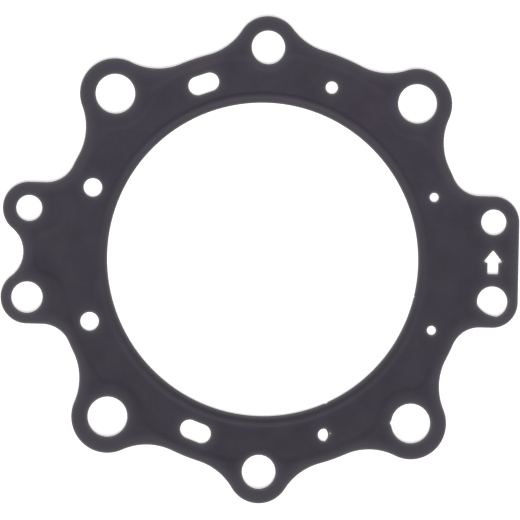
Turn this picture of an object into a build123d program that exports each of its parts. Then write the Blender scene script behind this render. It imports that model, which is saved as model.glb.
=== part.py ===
"""Head gasket for one cylinder of a liquid-cooled engine.

One sheet of coated spring steel, blanked and embossed in a press. The sheet lies flat with its
beads upwards: +Z is up, the origin is the centre of the bore on the lower face, and +X points to
the ear with the arrow window. All sizes are in millimetres.
"""
from build123d import *
import os
from math import asin, cos, degrees, hypot, radians, sin

# Sheet
sheet_thickness = 0.5

# Cylinder bore, with the round bead that seals it
bore_radius = 51.0
bore_lip = 0.9              # flat ring between the bore edge and the foot of the bead
bead_width = 3.0
bead_height = 0.3

# Steps from one circle about the bore to the next, going outwards
coolant_land = 5.3          # outer foot of the round bead to the coolant passages
step_land = 5.9             # coolant passages to the half bead
rim_land = 2.8              # half bead to the rim of the body
corner_stud_reach = 3.2     # rim to the corner studs
end_stud_reach = 0.2        # rim to the end studs
left_ear_reach = 7.7        # rim to the two left-hand holes
right_ear_reach = 6.9       # rim to the two right-hand holes
shoulder_width = 2.1        # added to the rim between the top stud and its right-hand neighbour
flank_depth = 0.6           # taken off the rim above and below the right ear

# Corner and end studs
corner_stud_angle = 46.5
corner_hole_radius = 6.45
upper_lug_wall = 5.05
lower_lug_wall = 5.25
end_hole_radius = 5.5
end_lug_wall = 4.7
lug_blend = 19.5            # hollow curve from each lug to the rim

# Side ears, each with a dowel hole and a screw hole
screw_hole_radius = 4.2
dowel_hole_radius = 5.05
ear_wall = 3.45             # round the dowel hole; the screw hole has the same outside
ear_blend = 9.6             # hollow curve from each ear to the rim
left_ear_y = 14.4
left_waist_radius = 9.9     # hollow between the two left-hand holes
right_screw_y = 14.2
right_dowel_y = -11.9

# Coolant passages
slot_angle = 110.3
slot_width = 6.1
slot_centres = 4.2
left_passage_angle = 158.9
left_passage_radius = 3.0
small_passage_angle = 69.5
small_passage_radius = 2.03
small_passage_shift = 0.3    # further out than the slots
vent_angle = 21.3
vent_radius = 1.5
vent_shift = 0.25            # further in than the slots

# Arrow window in the right ear, midway between its holes
arrow_length = 7.9
arrow_head = 4.2
arrow_stem = 3.6
arrow_wing = 1.6            # from the side of the stem to the side of the head
arrow_corner = 0.5
arrow_root = 0.35

# Half bead: inside this line the sheet is let down to seal round the coolant passages
step_height = 0.25
step_width = 2.4
step_shoulder_width = 1.0   # added to the line on the shoulder of the rim
corner_stud_land = 4.75     # edge of a corner stud hole to the line
end_stud_land = 2.0         # edge of an end stud hole to the line
step_corner = 3.5
tongue_land = 3.25          # edge of the left-hand dowel hole to the side of the tongue
tongue_stop = 2.1           # tip of the tongue to the line through the left-hand holes
tongue_blend = 8.3

# Marks of the press tool
worn_depth = 0.75           # flattened side of the right-hand dowel hole
worn_radius = 8.2
worn_direction = 62.0
burr_depth = 0.73           # burr left in the lower small passage
burr_radius = 2.66
burr_gap_radius = 0.2       # pinhole behind the burr
burr_gap_direction = 15.0
stud_nick_width = 2.2       # notches in the edges of a stud hole and the bore
stud_nick_depth = 0.45
bore_nick_depth = 0.25
wide_bore_nick_width = 2.1
wide_bore_nick_angle = -64.9
small_bore_nick_width = 1.1
small_bore_nick_angle = -12.3

# Circles about the bore
bead_foot = bore_radius + bore_lip
coolant_circle = bead_foot + bead_width + coolant_land
small_passage_circle = coolant_circle + small_passage_shift
vent_circle = coolant_circle - vent_shift
step_radius = coolant_circle + step_land
rim_radius = step_radius + rim_land
step_radius_shoulder = step_radius + step_shoulder_width
rim_radius_shoulder = rim_radius + shoulder_width
rim_radius_flank = rim_radius - flank_depth
corner_stud_circle = rim_radius + corner_stud_reach
end_stud_circle = rim_radius + end_stud_reach

# Rounds of the outline and of the half bead
upper_lug_radius = corner_hole_radius + upper_lug_wall
lower_lug_radius = corner_hole_radius + lower_lug_wall
end_lug_radius = end_hole_radius + end_lug_wall
ear_radius = dowel_hole_radius + ear_wall
step_round_corner_stud = corner_hole_radius + corner_stud_land
step_round_end_stud = end_hole_radius + end_stud_land
left_ear_x = -rim_radius - left_ear_reach
right_ear_x = rim_radius + right_ear_reach
tongue_tip = left_ear_x + tongue_stop
tongue_half_width = left_ear_y - dowel_hole_radius - tongue_land


def polar(radius, angle):
    """Point at a radius from the bore centre and an angle in degrees from +X."""
    return (radius * cos(radians(angle)), radius * sin(radians(angle)))


def sector(radius, start, end):
    """Pie-shaped face about the bore centre, between two angles in degrees."""
    with BuildSketch() as pie:
        with BuildLine():
            rim = CenterArc((0, 0), radius, start, end - start)
            Line(rim @ 1, (0, 0))
            Line((0, 0), rim @ 0)
        make_face()
    return pie.sketch


def on_circles(edges, radii):
    """Those upright edges that stand on one of the circles about the bore."""
    return [e for e in edges if any(abs(hypot(e.center().X, e.center().Y) - r) < 1e-3 for r in radii)]


corner_studs = [polar(corner_stud_circle, a) for a in
                (corner_stud_angle, 180 - corner_stud_angle, 180 + corner_stud_angle, -corner_stud_angle)]
end_studs = [(0, end_stud_circle), (0, -end_stud_circle)]
left_holes = [(left_ear_x, left_ear_y), (left_ear_x, -left_ear_y)]
right_holes = [(right_ear_x, right_screw_y), (right_ear_x, right_dowel_y)]

# Outline of the blank. The hollow between the left-hand holes touches both ear circles.
waist_x = left_ear_x - ((ear_radius + left_waist_radius) ** 2 - left_ear_y ** 2) ** 0.5
with BuildPart() as blank:
    with BuildSketch(Plane.XY.offset(step_height)):
        Circle(rim_radius_flank)
        add(sector(rim_radius, 90, 360 - corner_stud_angle))
        add(sector(rim_radius_shoulder, corner_stud_angle, 90))
        with Locations(*corner_studs[:2]):
            Circle(upper_lug_radius)
        with Locations(*corner_studs[2:]):
            Circle(lower_lug_radius)
        with Locations(*end_studs):
            Circle(end_lug_radius)
        with Locations(*left_holes, *right_holes):
            Circle(ear_radius)
        with Locations((left_ear_x, 0)):
            Rectangle(-left_ear_x, 2 * (left_ear_y + ear_radius), align=(Align.MIN, Align.CENTER))
        with Locations((0, right_dowel_y - ear_radius)):
            Rectangle(right_ear_x, right_screw_y - right_dowel_y + 2 * ear_radius,
                      align=(Align.MIN, Align.MIN))
        with Locations((0, right_dowel_y)):
            Rectangle(right_ear_x + ear_radius, right_screw_y - right_dowel_y,
                      align=(Align.MIN, Align.MIN))
        Polygon(*left_holes, (waist_x, 0), align=None)
        with Locations((waist_x, 0)):
            Circle(left_waist_radius, mode=Mode.SUBTRACT)
    extrude(amount=sheet_thickness)
    corners = on_circles(blank.edges().filter_by(Axis.Z).sort_by(Axis.X),
                         [rim_radius_flank, rim_radius, rim_radius_shoulder])
    fillet(corners[2:-2], lug_blend)
    fillet(corners[:2] + corners[-2:], ear_blend)


def low_area(level, spread):
    """Face over the low area of the sheet at a level, its edge moved outwards by spread."""
    with BuildPart() as block:
        with BuildSketch(Plane.XY.offset(level - sheet_thickness)):
            Circle(step_radius + spread)
            add(sector(step_radius_shoulder + spread, corner_stud_angle, 90))
            with Locations((tongue_tip - spread, 0)):
                Rectangle(-tongue_tip, 2 * (tongue_half_width + spread), align=(Align.MIN, Align.CENTER))
            with Locations(*corner_studs):
                Circle(step_round_corner_stud - spread, mode=Mode.SUBTRACT)
            with Locations(*end_studs):
                Circle(step_round_end_stud - spread, mode=Mode.SUBTRACT)
        extrude(amount=sheet_thickness)
        corners = block.edges().filter_by(Axis.Z).sort_by(Axis.X)
        fillet(corners[:2] + corners[4:], step_corner + spread)
        fillet(corners[2:4], tongue_blend - spread)
    return block.faces().sort_by(Axis.Z)[-1]


def nick(centre, radius, angle, width, depth):
    """Three-cornered notch in the edge of a round opening, in a direction in degrees."""
    mouth = degrees(asin(width / 2 / radius))
    with BuildSketch() as notch:
        with Locations(centre):
            Polygon(polar(radius, angle - mouth), polar(radius + depth, angle),
                    polar(radius, angle + mouth), align=None)
    return notch.sketch


def bead_side(bulge):
    """One side of the round bead's section; bulge is its distance from the middle of the sheet."""
    CenterArc((bead_foot, bend_above), bend_radius - bulge, -90, bend_angle)
    CenterArc((bead_foot + bead_width / 2, bend_below), bend_radius + bulge,
              90 + bend_angle, -2 * bend_angle)
    CenterArc((bead_foot + bead_width, bend_above), bend_radius - bulge, -90 - bend_angle, bend_angle)


# The round bead is four equal bends, so that the sheet keeps its thickness over it
middle = sheet_thickness / 2
bend_radius = (bead_width / 4) ** 2 / bead_height + bead_height / 4
bend_angle = degrees(asin(bead_width / 4 / bend_radius))
bend_above = middle + bend_radius
bend_below = middle + bead_height - bend_radius

# Openings that aren't plain circles
with BuildSketch() as worn_dowel_hole:
    with Locations(right_holes[1]):
        Circle(dowel_hole_radius)
    shift = polar(worn_radius + worn_depth - dowel_hole_radius, worn_direction)
    with Locations((right_ear_x + shift[0], right_dowel_y + shift[1])):
        Circle(worn_radius, mode=Mode.INTERSECT)
with BuildSketch() as burred_passage:
    passage = polar(small_passage_circle, -small_passage_angle)
    with Locations(passage):
        Circle(small_passage_radius)
    with Locations((passage[0] + small_passage_radius - burr_depth - burr_radius, passage[1])):
        Circle(burr_radius, mode=Mode.INTERSECT)
    gap = polar(small_passage_radius, burr_gap_direction)
    with Locations((passage[0] + gap[0], passage[1] + gap[1])):
        Circle(burr_gap_radius)
with BuildSketch() as arrow:
    tip = (right_screw_y + right_dowel_y + arrow_length) / 2
    wing_x = arrow_stem / 2 + arrow_wing
    with Locations((right_ear_x, tip)):
        Polygon((0, 0), (wing_x, -arrow_head), (arrow_stem / 2, -arrow_head),
                (arrow_stem / 2, -arrow_length), (-arrow_stem / 2, -arrow_length),
                (-arrow_stem / 2, -arrow_head), (-wing_x, -arrow_head), align=None)
    fillet(arrow.vertices().group_by(Axis.Y)[1].sort_by(Axis.X)[1:3], arrow_root)
    points = arrow.vertices()
    fillet(points.group_by(Axis.Y)[-1] + points.group_by(Axis.Y)[0]
           + points.group_by(Axis.X)[-1] + points.group_by(Axis.X)[0], arrow_corner)

with BuildPart() as head_gasket:
    add(blank.part)

    # Half bead: the low area is let down by the step, on both faces of the sheet
    loft([low_area(0, -step_width / 2), low_area(step_height, step_width / 2)], ruled=True)
    loft([low_area(sheet_thickness, -step_width / 2),
          low_area(sheet_thickness + step_height, step_width / 2)], ruled=True, mode=Mode.SUBTRACT)

    # Lip and round bead of the cylinder bore
    with BuildSketch():
        Circle(bead_foot + bead_width)
    extrude(amount=sheet_thickness, mode=Mode.SUBTRACT)
    with BuildSketch(Plane.XZ):
        with BuildLine():
            bead_side(-middle)
            bead_side(middle)
            Line((bead_foot, 0), (bead_foot, sheet_thickness))
            Line((bead_foot + bead_width, 0), (bead_foot + bead_width, sheet_thickness))
        make_face()
        with Locations((bore_radius, 0)):
            Rectangle(bore_lip, sheet_thickness, align=(Align.MIN, Align.MIN))
    revolve(axis=Axis.Z)

    # Openings, all punched straight through
    with BuildSketch(Plane.XY.offset(sheet_thickness + step_height)):
        with Locations(*corner_studs):
            Circle(corner_hole_radius)
        with Locations(*end_studs):
            Circle(end_hole_radius)
        with Locations(left_holes[0], right_holes[0]):
            Circle(screw_hole_radius)
        with Locations(left_holes[1]):
            Circle(dowel_hole_radius)
        for side in (1, -1):
            with Locations(polar(coolant_circle, side * left_passage_angle)):
                Circle(left_passage_radius)
            with Locations(Location(polar(coolant_circle, side * slot_angle), side * slot_angle + 90)):
                SlotCenterToCenter(slot_centres, slot_width)
            with Locations(polar(vent_circle, side * vent_angle)):
                Circle(vent_radius)
        with Locations(polar(small_passage_circle, small_passage_angle)):
            Circle(small_passage_radius)
        add(burred_passage.sketch)
        add(worn_dowel_hole.sketch)
        add(nick(corner_studs[3], corner_hole_radius, 180, stud_nick_width, stud_nick_depth))
        add(nick((0, 0), bore_radius, wide_bore_nick_angle, wide_bore_nick_width, bore_nick_depth))
        add(nick((0, 0), bore_radius, small_bore_nick_angle, small_bore_nick_width, bore_nick_depth))
        add(arrow.sketch)
    extrude(amount=-sheet_thickness - step_height, mode=Mode.SUBTRACT)

head_gasket.part.label = "head_gasket"
os.makedirs("parts", exist_ok=True)
export_step(head_gasket.part, "parts/head_gasket.step")
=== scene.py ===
from math import asin, atan2, ceil, cos, hypot, pi, radians, sin, sqrt

import bmesh
import bpy
import numpy as np
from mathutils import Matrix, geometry, kdtree


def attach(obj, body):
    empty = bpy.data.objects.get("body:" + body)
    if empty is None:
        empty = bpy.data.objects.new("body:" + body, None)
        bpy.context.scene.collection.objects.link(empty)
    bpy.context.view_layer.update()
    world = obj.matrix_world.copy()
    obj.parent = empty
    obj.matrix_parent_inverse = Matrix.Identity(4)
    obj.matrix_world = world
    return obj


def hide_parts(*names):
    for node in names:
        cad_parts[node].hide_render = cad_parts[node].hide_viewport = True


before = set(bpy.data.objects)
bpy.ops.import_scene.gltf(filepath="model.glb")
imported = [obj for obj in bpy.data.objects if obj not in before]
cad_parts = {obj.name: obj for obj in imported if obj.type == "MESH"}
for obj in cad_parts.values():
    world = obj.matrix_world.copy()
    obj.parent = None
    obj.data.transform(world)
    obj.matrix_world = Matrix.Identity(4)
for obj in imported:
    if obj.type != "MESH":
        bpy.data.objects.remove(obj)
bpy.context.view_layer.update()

# Outline of the blank.
# One sheet of coated spring steel, blanked on a press. Its outline is a chain of rounds, each one
# touching the next or joined to it by a straight line. Plan sizes are in millimetres.
MM = 0.001
BORE = (0.0, 0.0)
RIM_RADIUS = 68.9
FLANK_RADIUS = 68.3
SHOULDER_RADIUS = 71.0
LUG_BLEND = 19.5
EAR_BLEND = 9.6
EAR_RADIUS = 8.5
CORNER_STUD_CIRCLE = 72.1
CORNER_STUD_ANGLE = 46.5
UPPER_LUG_RADIUS = 11.5
LOWER_LUG_RADIUS = 11.7
TOP_STUD, BOTTOM_STUD = (0.0, 69.1), (0.0, -69.1)
END_LUG_RADIUS = 10.2
LEFT_SCREW, LEFT_DOWEL = (-76.6, 14.4), (-76.6, -14.4)
WAIST_RADIUS = 9.9
RIGHT_SCREW, RIGHT_DOWEL = (75.8, 14.2), (75.8, -11.9)
POINT_SPACING = 0.6
FINE_SPACING, SMALL_SPACING, PINHOLE_SPACING = 0.4, 0.3, 0.1
FACET_TURN = 9                       # most that a round turns between two points, in degrees
CIRCLE_POINTS = 40                   # fewest on a full circle
SAME_HEADING, SAME_POINT = 1e-6, 1e-3


def polar(radius, angle):
    """Point at a radius from the middle of the bore and an angle in degrees from +X."""
    return (radius * cos(radians(angle)), radius * sin(radians(angle)))


def touching(a, reach_a, b, reach_b):
    """Point at given distances from two others, on the left on the way from a to b."""
    dx, dy = b[0] - a[0], b[1] - a[1]
    apart = hypot(dx, dy)
    along = (apart ** 2 + reach_a ** 2 - reach_b ** 2) / (2 * apart)
    aside = sqrt(reach_a ** 2 - along ** 2)
    return (a[0] + (dx * along - dy * aside) / apart, a[1] + (dy * along + dx * aside) / apart)


def lug(stud, radius, rim_before, rim_after):
    """A stud lug with the hollow that joins it to the rim on each side."""
    before = touching(stud, radius + LUG_BLEND, BORE, rim_before + LUG_BLEND)
    after = touching(BORE, rim_after + LUG_BLEND, stud, radius + LUG_BLEND)
    return [(*before, -LUG_BLEND), (*stud, radius), (*after, -LUG_BLEND)]


def ear_hollow(side, edge_y, rim):
    """The hollow between the straight edge of an ear, at edge_y, and the rim."""
    y = abs(edge_y) + EAR_BLEND
    return (side * sqrt((rim + EAR_BLEND) ** 2 - y ** 2), y if edge_y > 0 else -y, -EAR_BLEND)


def contour(rounds, spacing=POINT_SPACING):
    """Points and outward normals along a chain of rounds, anticlockwise.
    A round is (x, y, radius), and a hollow one has a negative radius."""
    headings = []
    for (ax, ay, ar), (bx, by, br) in zip(rounds, rounds[1:] + rounds[:1]):
        lean = max(-1.0, min(1.0, (ar - br) / hypot(bx - ax, by - ay)))
        headings.append(atan2(by - ay, bx - ax) + asin(lean))
    samples = []
    for k, (x, y, radius) in enumerate(rounds):
        start, sweep = headings[k - 1] - pi / 2, (headings[k] - headings[k - 1]) % (2 * pi)
        if sweep > 2 * pi - SAME_HEADING:
            sweep = 0.0
        if radius < 0 and sweep:
            sweep -= 2 * pi
        steps = max(ceil(abs(sweep * radius) / spacing), ceil(abs(sweep) / radians(FACET_TURN)), 1)
        for turn in np.linspace(start, start + sweep, steps + 1):
            samples.append((x + radius * cos(turn), y + radius * sin(turn), cos(turn), sin(turn)))
        ahead_x, ahead_y, ahead_radius = rounds[(k + 1) % len(rounds)]
        here = np.array(samples[-1])
        goal = np.array([ahead_x + ahead_radius * here[2], ahead_y + ahead_radius * here[3],
                         here[2], here[3]])
        for part in np.linspace(0, 1, ceil(hypot(*(goal - here)[:2]) / spacing) + 1)[1:-1]:
            samples.append(tuple(here + part * (goal - here)))
    samples = np.array(samples)
    gaps = np.hypot(*(samples - np.roll(samples, 1, axis=0))[:, :2].T)
    samples = samples[gaps > SAME_POINT]
    return samples[:, :2], samples[:, 2:]


def ring(centre, radius, spacing=POINT_SPACING):
    """Points and outward normals of a full circle."""
    turns = np.linspace(0, 2 * pi, max(CIRCLE_POINTS, ceil(2 * pi * radius / spacing)),
                        endpoint=False)
    normals = np.c_[np.cos(turns), np.sin(turns)]
    return np.array(centre) + radius * normals, normals


upper_right, upper_left, lower_left, lower_right = corner_studs = [
    polar(CORNER_STUD_CIRCLE, angle) for angle in
    (CORNER_STUD_ANGLE, 180 - CORNER_STUD_ANGLE, 180 + CORNER_STUD_ANGLE, -CORNER_STUD_ANGLE)]
rim = (*BORE, RIM_RADIUS)
left_edge_y = LEFT_SCREW[1] + EAR_RADIUS
waist = touching(LEFT_DOWEL, EAR_RADIUS + WAIST_RADIUS, LEFT_SCREW, EAR_RADIUS + WAIST_RADIUS)
outline = contour([
    (*RIGHT_DOWEL, EAR_RADIUS), (*RIGHT_SCREW, EAR_RADIUS),
    ear_hollow(1, RIGHT_SCREW[1] + EAR_RADIUS, FLANK_RADIUS), (*BORE, FLANK_RADIUS),
    *lug(upper_right, UPPER_LUG_RADIUS, FLANK_RADIUS, SHOULDER_RADIUS), (*BORE, SHOULDER_RADIUS),
    *lug(TOP_STUD, END_LUG_RADIUS, SHOULDER_RADIUS, RIM_RADIUS), rim,
    *lug(upper_left, UPPER_LUG_RADIUS, RIM_RADIUS, RIM_RADIUS), rim,
    ear_hollow(-1, left_edge_y, RIM_RADIUS),
    (*LEFT_SCREW, EAR_RADIUS), (*waist, -WAIST_RADIUS), (*LEFT_DOWEL, EAR_RADIUS),
    ear_hollow(-1, -left_edge_y, RIM_RADIUS), rim,
    *lug(lower_left, LOWER_LUG_RADIUS, RIM_RADIUS, RIM_RADIUS), rim,
    *lug(BOTTOM_STUD, END_LUG_RADIUS, RIM_RADIUS, RIM_RADIUS), rim,
    *lug(lower_right, LOWER_LUG_RADIUS, RIM_RADIUS, FLANK_RADIUS), (*BORE, FLANK_RADIUS),
    ear_hollow(1, RIGHT_DOWEL[1] - EAR_RADIUS, FLANK_RADIUS)])

# Openings.
# The bore, the stud, screw and dowel holes, the coolant passages and the arrow window are punched
# straight through. A few edges carry a nick, a burr or a worn side.
BORE_RADIUS = 51.0
CORNER_HOLE_RADIUS = 6.45
END_HOLE_RADIUS = 5.5
SCREW_HOLE_RADIUS = 4.2
DOWEL_HOLE_RADIUS = 5.05
COOLANT_CIRCLE = 60.2
LEFT_PASSAGE = (158.9, 3.0)          # angle and radius
SMALL_PASSAGE_CIRCLE, SMALL_PASSAGE = 60.5, (69.5, 2.03)
VENT_CIRCLE, VENT = 59.95, (21.3, 1.5)
SLOT_ANGLE, SLOT_WIDTH, SLOT_CENTRES = 110.3, 6.1, 4.2
BURR_DEPTH, BURR_RADIUS, BURR_CORNER = 0.73, 2.66, 0.12
BURR_GAP = (15.0, 0.2)               # direction and radius of the pinhole behind the burr
WORN_DEPTH, WORN_RADIUS, WORN_DIRECTION, WORN_CORNER = 0.75, 8.2, 62.0, 0.15
NICK_MOUTH, NICK_TIP = 0.6, 0.1
STUD_NICK = (180.0, 2.2, 0.45)       # angle, width and depth
BORE_NICKS = [(-64.9, 2.1, 0.25), (-12.3, 1.1, 0.25)]
ARROW_LENGTH, ARROW_HEAD, ARROW_STEM, ARROW_WING = 7.9, 4.2, 3.6, 1.6
ARROW_CORNER, ARROW_ROOT = 0.5, 0.35


def nicked(centre, radius, nicks):
    """Chain of rounds for a circular edge with small three-cornered nicks in it."""
    rounds = []
    for angle, width, depth in nicks:
        mouth = asin(width / 2 / radius) * 180 / pi
        for turn, reach, bend in ((-mouth, radius + NICK_MOUTH, -NICK_MOUTH),
                                  (0, radius + depth - NICK_TIP, NICK_TIP),
                                  (mouth, radius + NICK_MOUTH, -NICK_MOUTH)):
            x, y = polar(reach, angle + turn)
            rounds.append((centre[0] + x, centre[1] + y, bend))
        rounds.append((*centre, radius))
    return rounds


def flattened(centre, radius, other, other_radius, corner):
    """Chain of rounds for what two overlapping circles have in common, with small rounds where
    they meet."""
    reach, other_reach = radius - corner, other_radius - corner
    return [(*centre, radius), (*touching(centre, reach, other, other_reach), corner),
            (*other, other_radius), (*touching(other, other_reach, centre, reach), corner)]


def rounded(corners):
    """Chain of rounds for a polygon, from its corners (x, y, radius). A radius is negative where
    the polygon turns inwards."""
    rounds = []
    for k, (x, y, radius) in enumerate(corners):
        sides = []
        for other in (corners[k - 1], corners[(k + 1) % len(corners)]):
            side = np.array([other[0] - x, other[1] - y])
            sides.append(side / hypot(*side))
        middle = sides[0] + sides[1]
        half = asin(hypot(*(sides[0] - sides[1])) / 2)
        x, y = np.array([x, y]) + middle / hypot(*middle) * abs(radius) / sin(half)
        rounds.append((x, y, radius))
    return rounds


bore_edge = contour(nicked(BORE, BORE_RADIUS, BORE_NICKS))
openings = [ring(stud, CORNER_HOLE_RADIUS) for stud in corner_studs[:3]]
openings.append(contour(nicked(lower_right, CORNER_HOLE_RADIUS, [STUD_NICK]), FINE_SPACING))
openings += [ring(stud, END_HOLE_RADIUS) for stud in (TOP_STUD, BOTTOM_STUD)]
openings += [ring(screw, SCREW_HOLE_RADIUS) for screw in (LEFT_SCREW, RIGHT_SCREW)]
openings.append(ring(LEFT_DOWEL, DOWEL_HOLE_RADIUS))

wear_x, wear_y = polar(WORN_RADIUS + WORN_DEPTH - DOWEL_HOLE_RADIUS, WORN_DIRECTION)
worn = (RIGHT_DOWEL[0] + wear_x, RIGHT_DOWEL[1] + wear_y)
openings.append(contour(flattened(RIGHT_DOWEL, DOWEL_HOLE_RADIUS, worn, WORN_RADIUS, WORN_CORNER),
                        FINE_SPACING))

for side in (1, -1):
    slot_x, slot_y = polar(COOLANT_CIRCLE, side * SLOT_ANGLE)
    along_x, along_y = polar(SLOT_CENTRES / 2, side * SLOT_ANGLE + 90)
    openings.append(contour([(slot_x + end * along_x, slot_y + end * along_y, SLOT_WIDTH / 2)
                             for end in (1, -1)], FINE_SPACING))
    for circle, (angle, radius) in ((COOLANT_CIRCLE, LEFT_PASSAGE), (VENT_CIRCLE, VENT)):
        openings.append(ring(polar(circle, side * angle), radius, SMALL_SPACING))
openings.append(ring(polar(SMALL_PASSAGE_CIRCLE, SMALL_PASSAGE[0]), SMALL_PASSAGE[1],
                     SMALL_SPACING))
burred = polar(SMALL_PASSAGE_CIRCLE, -SMALL_PASSAGE[0])
burr_side = (burred[0] + SMALL_PASSAGE[1] - BURR_DEPTH - BURR_RADIUS, burred[1])
openings.append(contour(flattened(burred, SMALL_PASSAGE[1], burr_side, BURR_RADIUS, BURR_CORNER),
                        SMALL_SPACING))
gap_x, gap_y = polar(SMALL_PASSAGE[1], BURR_GAP[0])
openings.append(ring((burred[0] + gap_x, burred[1] + gap_y), BURR_GAP[1], PINHOLE_SPACING))

tip_y = (RIGHT_SCREW[1] + RIGHT_DOWEL[1] + ARROW_LENGTH) / 2
stem, wing = ARROW_STEM / 2, ARROW_STEM / 2 + ARROW_WING
openings.append(contour(rounded([
    (RIGHT_SCREW[0] + x, tip_y - y, radius) for x, y, radius in (
        (0, 0, ARROW_CORNER), (-wing, ARROW_HEAD, ARROW_CORNER), (-stem, ARROW_HEAD, -ARROW_ROOT),
        (-stem, ARROW_LENGTH, ARROW_CORNER), (stem, ARROW_LENGTH, ARROW_CORNER),
        (stem, ARROW_HEAD, -ARROW_ROOT), (wing, ARROW_HEAD, ARROW_CORNER))]),
    SMALL_SPACING))

# Line of the half bead.
# Inside this line the sheet is pressed down by a quarter of a millimetre, to seal round the coolant
# passages. The line dodges the six studs and runs out in a tongue between the left-hand holes.
STEP_WIDTH = 2.4
STEP_RADIUS = 66.1
STEP_SHOULDER_RADIUS = 67.1
CORNER_DODGE_RADIUS = 11.2
END_DODGE_RADIUS = 7.5
STEP_CORNER = 3.5
TONGUE_TIP = -74.5
TONGUE_HALF_WIDTH = 6.1
TONGUE_BLEND = 8.3


def dodge(stud, radius, line_before, line_after):
    """The half bead's way round the inner side of a stud hole."""
    before = touching(stud, radius + STEP_CORNER, BORE, line_before - STEP_CORNER)
    after = touching(BORE, line_after - STEP_CORNER, stud, radius + STEP_CORNER)
    return [(*before, STEP_CORNER), (*stud, -radius), (*after, STEP_CORNER)]


step = (*BORE, STEP_RADIUS)
tongue_top = (TONGUE_TIP + STEP_CORNER, TONGUE_HALF_WIDTH - STEP_CORNER)
tongue_bottom = (tongue_top[0], -tongue_top[1])
root_reach, tip_reach = STEP_RADIUS + TONGUE_BLEND, STEP_CORNER + TONGUE_BLEND
step_line = contour([
    step, *dodge(upper_right, CORNER_DODGE_RADIUS, STEP_RADIUS, STEP_SHOULDER_RADIUS),
    (*BORE, STEP_SHOULDER_RADIUS),
    *dodge(TOP_STUD, END_DODGE_RADIUS, STEP_SHOULDER_RADIUS, STEP_RADIUS),
    step, *dodge(upper_left, CORNER_DODGE_RADIUS, STEP_RADIUS, STEP_RADIUS), step,
    (*touching(tongue_top, tip_reach, BORE, root_reach), -TONGUE_BLEND), (*tongue_top, STEP_CORNER),
    (*tongue_bottom, STEP_CORNER),
    (*touching(BORE, root_reach, tongue_bottom, tip_reach), -TONGUE_BLEND),
    step, *dodge(lower_left, CORNER_DODGE_RADIUS, STEP_RADIUS, STEP_RADIUS), step,
    *dodge(BOTTOM_STUD, END_DODGE_RADIUS, STEP_RADIUS, STEP_RADIUS), step,
    *dodge(lower_right, CORNER_DODGE_RADIUS, STEP_RADIUS, STEP_RADIUS)])

# Flat pattern of the sheet.
# A net of triangles with lines of points along every edge and every fold, so that the press work
# below bends smoothly. Each point carries its distance to the nearest edge, its distance to the
# half bead where that is near, and how much painted glare pales the coating there.
BORE_LIP = 0.9
LIP_LINE = 0.6                       # a line of points on the flat lip
BEAD_WIDTH = 3.0
EDGE_LINES = (0.0, 0.03, 0.07, 0.12, 0.2)
BEAD_LINES = np.linspace(BORE_LIP, BORE_LIP + BEAD_WIDTH, 15)
STEP_LINES = np.linspace(-STEP_WIDTH / 2, STEP_WIDTH / 2, 13)
NET_PITCH = 1.2
NET_REACH = (90, 84)                 # along X and Y, past the sheet on every side
NET_CLEARANCE = 0.6                  # from the lines of points, as a share of the pitch
JOIN_WITHIN = 1e-7
GLARE_REACH = 4.2                     # how far in from an edge the painted glare reaches
GLARE_AT_OUTLINE, GLARE_AT_BORE = 1.0, 0.72
HOLE_GLARE, HOLE_SIZE = 1.65, 4.5  # a small hole gets less painted glare than a long edge does
LONG_EDGE_FALL, HOLE_FALL = 1.3, 2.0  # powers by which the painted glare fades inwards

loops = []                           # points, distance to the edge, distance to the half bead
for points, normals in openings + [bore_edge]:
    loops += [(points + inset * normals, inset, None) for inset in EDGE_LINES]
loops += [(outline[0] - inset * outline[1], inset, None) for inset in EDGE_LINES]
loops += [(ring(BORE, BORE_RADIUS + reach)[0], reach, None) for reach in (LIP_LINE, *BEAD_LINES)]
loops += [(step_line[0] + reach * step_line[1], None, reach) for reach in STEP_LINES]
boundaries = [outline[0], bore_edge[0]] + [points for points, normals in openings]


def inside(points, loop):
    """Which of the points lie inside a closed loop."""
    x, y = points[:, :1], points[:, 1:]
    ax, ay = loop[:, 0], loop[:, 1]
    bx, by = np.roll(ax, -1), np.roll(ay, -1)
    # A level side is never crossed, so its slope may be anything but a division by zero.
    slope = (bx - ax) / np.where(by == ay, 1e-12, by - ay)
    hits = ((ay > y) != (by > y)) & (x < ax + (y - ay) * slope)
    return hits.sum(axis=1) % 2 == 1


def in_sheet(points):
    """Which of the points lie on the sheet."""
    in_holes = np.any([inside(points, hole) for hole in boundaries[1:]], axis=0)
    return inside(points, boundaries[0]) & ~in_holes


def nearest(points):
    """A search tree over points of the plan."""
    tree = kdtree.KDTree(len(points))
    for index, (x, y) in enumerate(points):
        tree.insert((x, y, 0.0), index)
    tree.balance()
    return tree


placed = np.concatenate([points for points, edge, fold in loops])
tree = nearest(placed)
across, up = np.meshgrid(np.arange(-NET_REACH[0], NET_REACH[0], NET_PITCH),
                         np.arange(-NET_REACH[1], NET_REACH[1], NET_PITCH * sqrt(3) / 2))
across = across + np.where(np.arange(len(up))[:, None] % 2, NET_PITCH / 2, 0)
net = np.c_[across.ravel(), up.ravel()]
net = net[in_sheet(net)]
net = np.array([p for p in net if tree.find((*p, 0.0))[2] > NET_CLEARANCE * NET_PITCH])
plan = np.concatenate([placed, net])

sides, first = [], 0
for points, edge, fold in loops:
    sides += [(first + k, first + (k + 1) % len(points)) for k in range(len(points))]
    first += len(points)
laid = geometry.delaunay_2d_cdt([tuple(p) for p in plan], sides, [], 0, JOIN_WITHIN)
source = [members[0] if members else -1 for members in laid[3]]
plan = np.array([tuple(p) for p in laid[0]])
triangles = np.array(laid[2])
triangles = triangles[in_sheet(plan[triangles].mean(axis=1))]

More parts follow.
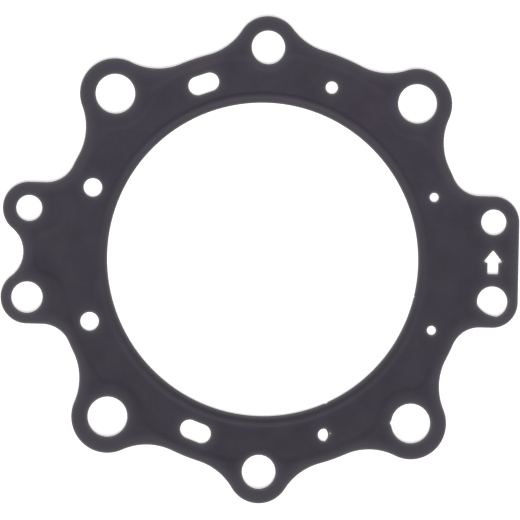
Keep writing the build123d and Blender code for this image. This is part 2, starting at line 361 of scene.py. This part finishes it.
distances = np.array([[hole.find((*p, 0.0))[2] for p in plan]
                      for hole in (nearest(loop) for loop in boundaries)])
edge_distance = distances.min(axis=0)
# Painted glare: how much each edge pales the coating near it, more for the outline and bore than
# for small holes.
spans = np.array([np.ptp(loop, axis=0).mean() / 2 for loop in boundaries])
shares = HOLE_GLARE * spans / (spans + HOLE_SIZE)
falls = np.full(len(spans), HOLE_FALL)
shares[:2], falls[:2] = (GLARE_AT_OUTLINE, GLARE_AT_BORE), LONG_EDGE_FALL
closeness = np.clip(1 - distances / GLARE_REACH, 0, 1)
painted_glare = (shares[:, None] * closeness ** falls[:, None]).sum(axis=0)
fold_distance = np.where(inside(plan, step_line[0]), -1.0, 1.0) * STEP_WIDTH
first = 0
given_edge, given_fold = np.full((2, len(placed) + len(net)), np.nan)
for points, edge, fold in loops:
    given_edge[first:first + len(points)] = np.nan if edge is None else edge
    given_fold[first:first + len(points)] = np.nan if fold is None else fold
    first += len(points)
given_edge, given_fold = given_edge[source], given_fold[source]
edge_distance = np.where(np.isnan(given_edge), edge_distance, given_edge)
fold_distance = np.where(np.isnan(given_fold), fold_distance, given_fold)

flat = bpy.data.meshes.new("flat_pattern")
flat.from_pydata([(x * MM, y * MM, 0.0) for x, y in plan], [], triangles.tolist())
for name, values in (("edge", edge_distance * MM), ("fold", fold_distance * MM),
                     ("painted_glare", painted_glare)):
    field = flat.attributes.new(name, "FLOAT", "POINT")
    field.data.foreach_set("value", values.astype(np.float32))

# Coating.
# Both faces carry a thin matt elastomer coating over the steel, a dark violet grey. Painted glare
# makes it paler towards the punched edges, most in a narrow band along each edge. Elsewhere it is
# slightly uneven, and painted light makes it a little paler at the +Y end than at the -Y end.
COATING = (0.0422, 0.0356, 0.0508, 1.0)
COATING_CLOUD = (0.0434, 0.0384, 0.0490, 1.0)
COATING_PAINTED_GLARE = (0.0762, 0.0675, 0.0846, 1.0)
CLOUD_NOISE = (70.0, 3.0, 0.55)      # scale per metre, detail and roughness
CLOUD_SPAN = (0.35, 0.65)            # of the noise, from one colour to the other
PATCH_NOISE = (110.0, 2.0, 0.5)
PATCH_SHADE = (0.88, 1.12)
GRAIN_SHADE = (0.84, 1.16)
SHADE_SPAN = (0.25, 0.75)            # of the noise that these two shades follow
SLOW_PAINTED_LIGHT = (0.88, 1.12)            # painted light, paler towards +Y, from one end of the sheet to the other, along Y
SLOW_REACH = 80.0
# Painted glare: a pale band painted along each punched edge.
PAINTED_EDGE_GLARE = (0.150, 0.153, 0.143, 1.0)
EDGE_GLARE_SHARE = 0.55
EDGE_GLARE_REACH = 0.95                  # how far in from each edge
COATING_SPECULAR = 0.18
COATING_ROUGHNESS = (0.70, 0.82)
ROUGHNESS_SPAN = (0.3, 0.7)          # of the noise that the roughness follows
COATING_GRAIN = 0.35
COATING_RELIEF = (0.8, 0.07)         # strength and height of the grain
GRAIN_NOISE = (3.0, 0.6)             # detail and roughness
PIT_SCALE, PIT_SHARE = 0.6, 0.4      # pits against the grain that they lie in


def add(tree, kind, links=(), **settings):
    """Add a node to a tree. Links pair an input, by name or number, with a socket or a value."""
    made = tree.nodes.new(kind)
    for key, value in settings.items():
        setattr(made, key, value)
    for key, value in links:
        if isinstance(value, bpy.types.NodeSocket):
            tree.links.new(value, made.inputs[key])
        else:
            made.inputs[key].default_value = value
    return made


def math(tree, operation, *values):
    """Add a sum of one or two sockets or numbers, and give its result."""
    return add(tree, "ShaderNodeMath", list(enumerate(values)), operation=operation).outputs[0]


def blended(tree, factor, low, high):
    """Mix two colours by a factor."""
    return add(tree, "ShaderNodeMix", [("Factor", factor), (6, low), (7, high)],
               data_type="RGBA").outputs[2]


def mapped(tree, value, span=(0.0, 1.0), target=(0.0, 1.0), **settings):
    """Map a value from a span to a target span, and hold it within that."""
    return add(tree, "ShaderNodeMapRange", [
        ("Value", value), ("From Min", span[0]), ("From Max", span[1]),
        ("To Min", target[0]), ("To Max", target[1])], **settings).outputs[0]


def noise(tree, place, scale, detail, roughness):
    """Add a noise that follows a place, and give its strength."""
    return add(tree, "ShaderNodeTexNoise", [
        ("Vector", place), ("Scale", scale), ("Detail", detail),
        ("Roughness", roughness)]).outputs[0]


def carried(tree, name):
    """What the mesh carries under a name, as a number."""
    return add(tree, "ShaderNodeAttribute", attribute_name=name).outputs["Fac"]


grain = bpy.data.node_groups.new("fine_grain", "ShaderNodeTree")
for name, kind, way in (("Coordinates", "NodeSocketVector", "INPUT"),
                        ("Grain Size", "NodeSocketFloat", "INPUT"),
                        ("Speckle", "NodeSocketFloat", "OUTPUT"),
                        ("Height", "NodeSocketFloat", "OUTPUT")):
    grain.interface.new_socket(name, in_out=way, socket_type=kind)
given = add(grain, "NodeGroupInput").outputs
scale = math(grain, "DIVIDE", 1.0, given["Grain Size"])
speckle = noise(grain, given["Coordinates"], scale, *GRAIN_NOISE)
pits = add(grain, "ShaderNodeTexVoronoi", [
    ("Vector", given["Coordinates"]), ("Scale", math(grain, "MULTIPLY", scale, PIT_SCALE))])
pitted = math(grain, "MULTIPLY", pits.outputs["Distance"], PIT_SHARE)
add(grain, "NodeGroupOutput", [
    ("Speckle", speckle), ("Height", math(grain, "ADD", speckle, pitted))])


def grained(name, grain_size, relief):
    """A material with the fine grain as its relief. It comes with its tree, the inputs of its
    shader, its Object coordinates and the speckle of the grain."""
    material = bpy.data.materials.new(name)
    material.use_nodes = True
    tree = material.node_tree
    finish = tree.nodes["Principled BSDF"].inputs
    position = add(tree, "ShaderNodeTexCoord").outputs["Object"]
    grains = add(tree, "ShaderNodeGroup", [(0, position)], node_tree=grain)
    grains.inputs["Grain Size"].default_value = grain_size * MM
    strength, height = relief
    bump = add(tree, "ShaderNodeBump", [
        ("Strength", strength), ("Distance", height * MM), ("Height", grains.outputs["Height"])])
    tree.links.new(bump.outputs[0], finish["Normal"])
    return material, tree, finish, position, grains.outputs["Speckle"]


coated, tree, finish, position, speckle = grained(
    "coated_steel_faces", COATING_GRAIN, COATING_RELIEF)
finish["Specular IOR Level"].default_value = COATING_SPECULAR
cloudy = mapped(tree, noise(tree, position, *CLOUD_NOISE), CLOUD_SPAN)
patchy = noise(tree, position, *PATCH_NOISE)
along = add(tree, "ShaderNodeSeparateXYZ", [(0, position)]).outputs["Y"]
colour = blended(tree, cloudy, COATING, COATING_CLOUD)
# The last of these shades is painted light: the sheet is painted paler towards +Y.
for field, span, shades in ((patchy, SHADE_SPAN, PATCH_SHADE),
                            (speckle, SHADE_SPAN, GRAIN_SHADE),
                            (along, (-SLOW_REACH * MM, SLOW_REACH * MM), SLOW_PAINTED_LIGHT)):
    shade = mapped(tree, field, span, shades)
    colour = add(tree, "ShaderNodeVectorMath", [(0, colour), ("Scale", shade)],
                 operation="SCALE").outputs[0]
# Painted glare: the coating is painted paler towards the punched edges.
colour = blended(tree, carried(tree, "painted_glare"), colour, COATING_PAINTED_GLARE)
# Painted glare in a narrow band along each punched edge.
edge_glare = mapped(tree, carried(tree, "edge"), (0.0, EDGE_GLARE_REACH * MM), (EDGE_GLARE_SHARE, 0.0),
                interpolation_type="SMOOTHSTEP")
tree.links.new(blended(tree, edge_glare, colour, PAINTED_EDGE_GLARE), finish["Base Color"])
rough = mapped(tree, speckle, ROUGHNESS_SPAN, COATING_ROUGHNESS)
tree.links.new(rough, finish["Roughness"])

# Punched edges.
# The punch leaves bare steel all along the outline and round the holes: burnished over the upper
# third, where it sheared, and rougher and darker below, where the sheet tore.
STEEL_BURNISHED = (0.42, 0.43, 0.42, 1.0)
STEEL_TORN = (0.20, 0.205, 0.20, 1.0)
TORN_SPAN = (0.3, 0.45)              # share of the thickness over which the one becomes the other
TORN_WANDER = 0.5
EDGE_ROUGHNESS = (0.32, 0.6)
EDGE_GRAIN = 0.25
EDGE_RELIEF = (0.4, 0.03)

punched, tree, finish, position, speckle = grained("punched_edge", EDGE_GRAIN, EDGE_RELIEF)
finish["Metallic"].default_value = 1.0
wander = math(tree, "MULTIPLY", math(tree, "SUBTRACT", speckle, 0.5), TORN_WANDER)
torn = mapped(tree, math(tree, "ADD", carried(tree, "depth"), wander), TORN_SPAN)
tree.links.new(blended(tree, torn, STEEL_BURNISHED, STEEL_TORN), finish["Base Color"])
tree.links.new(mapped(tree, torn, target=EDGE_ROUGHNESS), finish["Roughness"])

# Press work.
# One press stroke raises the round bead that seals the bore and lets the middle of the sheet down
# along the half bead. The sheet keeps its thickness, and the punch rolls its upper edges over.
THICKNESS = 0.5
BEAD_HEIGHT = 0.3
STEP_HEIGHT = 0.25
TOP_ROLL = 0.12
BOTTOM_ROLL = 0.04
WELD_WITHIN = 0.002


def sockets(tree, *names):
    """Give a group its named length inputs, after any geometry."""
    for name in names:
        tree.interface.new_socket(name, in_out="INPUT", socket_type="NodeSocketFloat")


def named(tree, name, kind="FLOAT"):
    """Read what the sheet carries under a name."""
    return add(tree, "GeometryNodeInputNamedAttribute", [("Name", name)],
               data_type=kind).outputs[0]


def stored(tree, geometry, name, value, selection=True, kind="FLOAT", domain="POINT"):
    """Let the sheet carry a value under a name."""
    return add(tree, "GeometryNodeStoreNamedAttribute", [
        ("Geometry", geometry), ("Selection", selection), ("Name", name), ("Value", value)],
        data_type=kind, domain=domain).outputs[0]


rolled = bpy.data.node_groups.new("rolled_edge", "GeometryNodeTree")
sockets(rolled, "Edge Distance", "Roll Radius")
rolled.interface.new_socket("Drop", in_out="OUTPUT", socket_type="NodeSocketFloat")
given = add(rolled, "NodeGroupInput").outputs
distance, radius = given[0], given[1]
short = math(rolled, "MAXIMUM", math(rolled, "SUBTRACT", radius, distance), 0.0)
squared = math(rolled, "SUBTRACT", math(rolled, "MULTIPLY", radius, radius),
               math(rolled, "MULTIPLY", short, short))
drop = math(rolled, "SUBTRACT", radius, math(rolled, "SQRT", squared))
add(rolled, "NodeGroupOutput", [(0, drop)])

press = bpy.data.node_groups.new("press_sheet", "GeometryNodeTree")
press.interface.new_socket("Geometry", in_out="INPUT", socket_type="NodeSocketGeometry")
press.interface.new_socket("Geometry", in_out="OUTPUT", socket_type="NodeSocketGeometry")
sizes = {"Thickness": THICKNESS, "Bead Radius": BORE_RADIUS + BORE_LIP + BEAD_WIDTH / 2,
         "Bead Width": BEAD_WIDTH, "Bead Height": BEAD_HEIGHT, "Step Width": STEP_WIDTH,
         "Step Height": STEP_HEIGHT, "Top Roll": TOP_ROLL, "Bottom Roll": BOTTOM_ROLL}
sockets(press, *sizes)
given = add(press, "NodeGroupInput").outputs

# The middle of the sheet takes the bead and the step.
place = add(press, "GeometryNodeInputPosition").outputs[0]
off_centre = add(press, "ShaderNodeVectorMath", [(0, place)], operation="LENGTH").outputs["Value"]
off_crest = math(press, "ABSOLUTE", math(press, "SUBTRACT", off_centre, given["Bead Radius"]))
bead_foot = math(press, "MULTIPLY", given["Bead Width"], 0.5)
bead = mapped(press, off_crest, (bead_foot, 0.0), (0.0, given["Bead Height"]),
              interpolation_type="SMOOTHSTEP")
step_feet = [math(press, "MULTIPLY", given["Step Width"], share) for share in (-0.5, 0.5)]
step_rise = mapped(press, named(press, "fold"), step_feet, (0.0, given["Step Height"]),
                   interpolation_type="SMOOTHSTEP")
half = math(press, "MULTIPLY", given["Thickness"], 0.5)
level = math(press, "ADD", half, math(press, "ADD", bead, step_rise))
raised = add(press, "ShaderNodeCombineXYZ", [("Z", level)]).outputs[0]
middle = add(press, "GeometryNodeSetPosition", [
    ("Geometry", given["Geometry"]), ("Offset", raised)])
facing = add(press, "GeometryNodeCaptureAttribute", [("Geometry", middle.outputs[0])])
facing.capture_items.new("VECTOR", "Facing")
press.links.new(add(press, "GeometryNodeInputNormal").outputs[0], facing.inputs[1])

# The two faces lie half the thickness off it, less what the punch rolls over.
reaches, faces = [], []
for roll, way in (("Top Roll", 1.0), ("Bottom Roll", -1.0)):
    fallen = add(press, "GeometryNodeGroup", [(0, named(press, "edge")), (1, given[roll])],
                 node_tree=rolled)
    reach = math(press, "MULTIPLY", math(press, "SUBTRACT", half, fallen.outputs[0]), way)
    shift = add(press, "ShaderNodeVectorMath", [(0, facing.outputs[1]), ("Scale", reach)],
                operation="SCALE")
    moved = add(press, "GeometryNodeSetPosition", [
        ("Geometry", facing.outputs[0]), ("Offset", shift.outputs[0])])
    reaches.append(reach)
    faces.append(moved.outputs[0])
upper = stored(press, faces[0], "depth", 0.0)
lower = stored(press, add(press, "GeometryNodeFlipFaces", [(0, faces[1])]).outputs[0],
               "depth", 1.0)

# The punched walls join the faces along every free edge.
neighbours = add(press, "GeometryNodeInputMeshEdgeNeighbors").outputs[0]
free_edge = add(press, "FunctionNodeCompare", [(2, neighbours), (3, 1)],
                data_type="INT", operation="EQUAL").outputs[0]
fall = add(press, "ShaderNodeVectorMath", [
    (0, facing.outputs[1]), ("Scale", math(press, "SUBTRACT", reaches[1], reaches[0]))],
    operation="SCALE").outputs[0]
wall = add(press, "GeometryNodeExtrudeMesh", [
    ("Mesh", upper), ("Selection", free_edge), ("Offset", fall), ("Offset Scale", 1.0)],
    mode="EDGES").outputs
walled = stored(press, wall["Mesh"], "depth", 1.0, wall["Top"])
walled = stored(press, walled, "punched", True, wall["Side"], "BOOLEAN", "FACE")
joined = add(press, "GeometryNodeJoinGeometry")
for part in (lower, walled):
    press.links.new(part, joined.inputs[0])
welded = add(press, "GeometryNodeMergeByDistance", [
    ("Geometry", joined.outputs[0]), ("Distance", WELD_WITHIN * MM)])
smooth = add(press, "GeometryNodeSetShadeSmooth", [("Geometry", welded.outputs[0])])
real = add(press, "GeometryNodeRealizeInstances", [("Geometry", smooth.outputs[0])])
coating_on = add(press, "GeometryNodeSetMaterial", [
    ("Geometry", real.outputs[0]), ("Material", coated)])
finished = add(press, "GeometryNodeSetMaterial", [
    ("Geometry", coating_on.outputs[0]), ("Selection", named(press, "punched", "BOOLEAN")),
    ("Material", punched)])
add(press, "NodeGroupOutput", [("Geometry", finished.outputs[0])])

gasket = bpy.data.objects.new("gasket_sheet", flat)
bpy.context.scene.collection.objects.link(gasket)
pressing = gasket.modifiers.new("press_sheet", "NODES")
pressing.node_group = press
for item in press.interface.items_tree:
    if item.name in sizes:
        pressing[item.identifier] = sizes[item.name] * MM
depsgraph = bpy.context.evaluated_depsgraph_get()
pressed = bpy.data.meshes.new_from_object(gasket.evaluated_get(depsgraph))
gasket.modifiers.clear()
gasket.data = pressed
pressed.materials.pop(index=0)       # the flat pattern's empty slot
shell = bmesh.new()
shell.from_mesh(pressed)
bmesh.ops.recalc_face_normals(shell, faces=shell.faces)
shell.to_mesh(pressed)
shell.free()
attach(gasket, "root")
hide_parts("head_gasket")

# Floor.
# A plain white table top. What the camera sees of it is lifted to white, and it keeps the faint
# shadow that the sheet drops.
FLOOR_SIZE = 3.0
FLOOR_COLOUR = (0.80, 0.80, 0.80, 1.0)
FLOOR_LIFT = 0.5
FLOOR_ROUGHNESS = 0.9
FLOOR_DROP = 0.02                    # below the sheet, so that the two don't coincide


def lifted(tree):
    """One where the camera sees a surface, directly, in a reflection or through something clear."""
    rays = add(tree, "ShaderNodeLightPath").outputs
    seen = math(tree, "MAXIMUM", rays["Is Camera Ray"], rays["Is Glossy Ray"])
    return math(tree, "MAXIMUM", seen, rays["Is Transmission Ray"])


white = bpy.data.materials.new("white_floor")
white.use_nodes = True
tree = white.node_tree
finish = tree.nodes["Principled BSDF"]
finish.inputs["Base Color"].default_value = FLOOR_COLOUR
finish.inputs["Roughness"].default_value = FLOOR_ROUGHNESS
finish.inputs["Specular IOR Level"].default_value = 0.0
finish.inputs["Emission Color"].default_value = (1.0, 1.0, 1.0, 1.0)
seen = lifted(tree)
tree.links.new(math(tree, "MULTIPLY", seen, FLOOR_LIFT), finish.inputs["Emission Strength"])
table = bpy.data.meshes.new("floor")
reach, low = FLOOR_SIZE / 2, -FLOOR_DROP * MM
table.from_pydata([(-reach, -reach, low), (reach, -reach, low), (reach, reach, low),
                   (-reach, reach, low)], [], [(0, 1, 2, 3)])
table.materials.append(white)
floor = bpy.data.objects.new("floor", table)
bpy.context.scene.collection.objects.link(floor)

# Light.
# A large soft lamp stands low on the -Y side and a white surround fills in the rest, so the bead
# and the half bead show by their lit and shaded flanks.
KEY_PLACE = (0.0, -6.1, 5.1)
KEY_SIZE = 4.8
KEY_POWER = 700.0
FILL_STRENGTH = 0.32

lamp = bpy.data.lights.new("key", "AREA")
lamp.shape = "SQUARE"
lamp.size = KEY_SIZE
lamp.energy = KEY_POWER
key = bpy.data.objects.new("key", lamp)
key.location = KEY_PLACE
key.rotation_euler = (radians(90) - atan2(KEY_PLACE[2], -KEY_PLACE[1]), 0.0, 0.0)
key.visible_camera = False
bpy.context.scene.collection.objects.link(key)
surround = bpy.data.worlds.new("surround")
surround.use_nodes = True
tree = surround.node_tree
strength = mapped(tree, lifted(tree), target=(FILL_STRENGTH, 1.0))
tree.links.new(strength, tree.nodes["Background"].inputs["Strength"])
tree.nodes["Background"].inputs["Color"].default_value = (1.0, 1.0, 1.0, 1.0)
bpy.context.scene.world = surround
bpy.context.scene.view_settings.view_transform = "Standard"

# Camera.
# It hangs over the gasket and looks almost straight down.
CAMERA_PLACE = (-0.15131, -0.04835, 1.2)
CAMERA_TURN = (2.1093, -7.1861, 1.3431)
CAMERA_LENS = 257.548
SENSOR_WIDTH = 36.0
CLIP_END = 10.0

optics = bpy.data.cameras.new("camera")
optics.sensor_fit = "HORIZONTAL"
optics.sensor_width = SENSOR_WIDTH
optics.lens = CAMERA_LENS
optics.clip_end = CLIP_END
camera = bpy.data.objects.new("camera", optics)
camera.location = CAMERA_PLACE
camera.rotation_euler = [radians(turn) for turn in CAMERA_TURN]
bpy.context.scene.collection.objects.link(camera)
bpy.context.scene.camera = camera
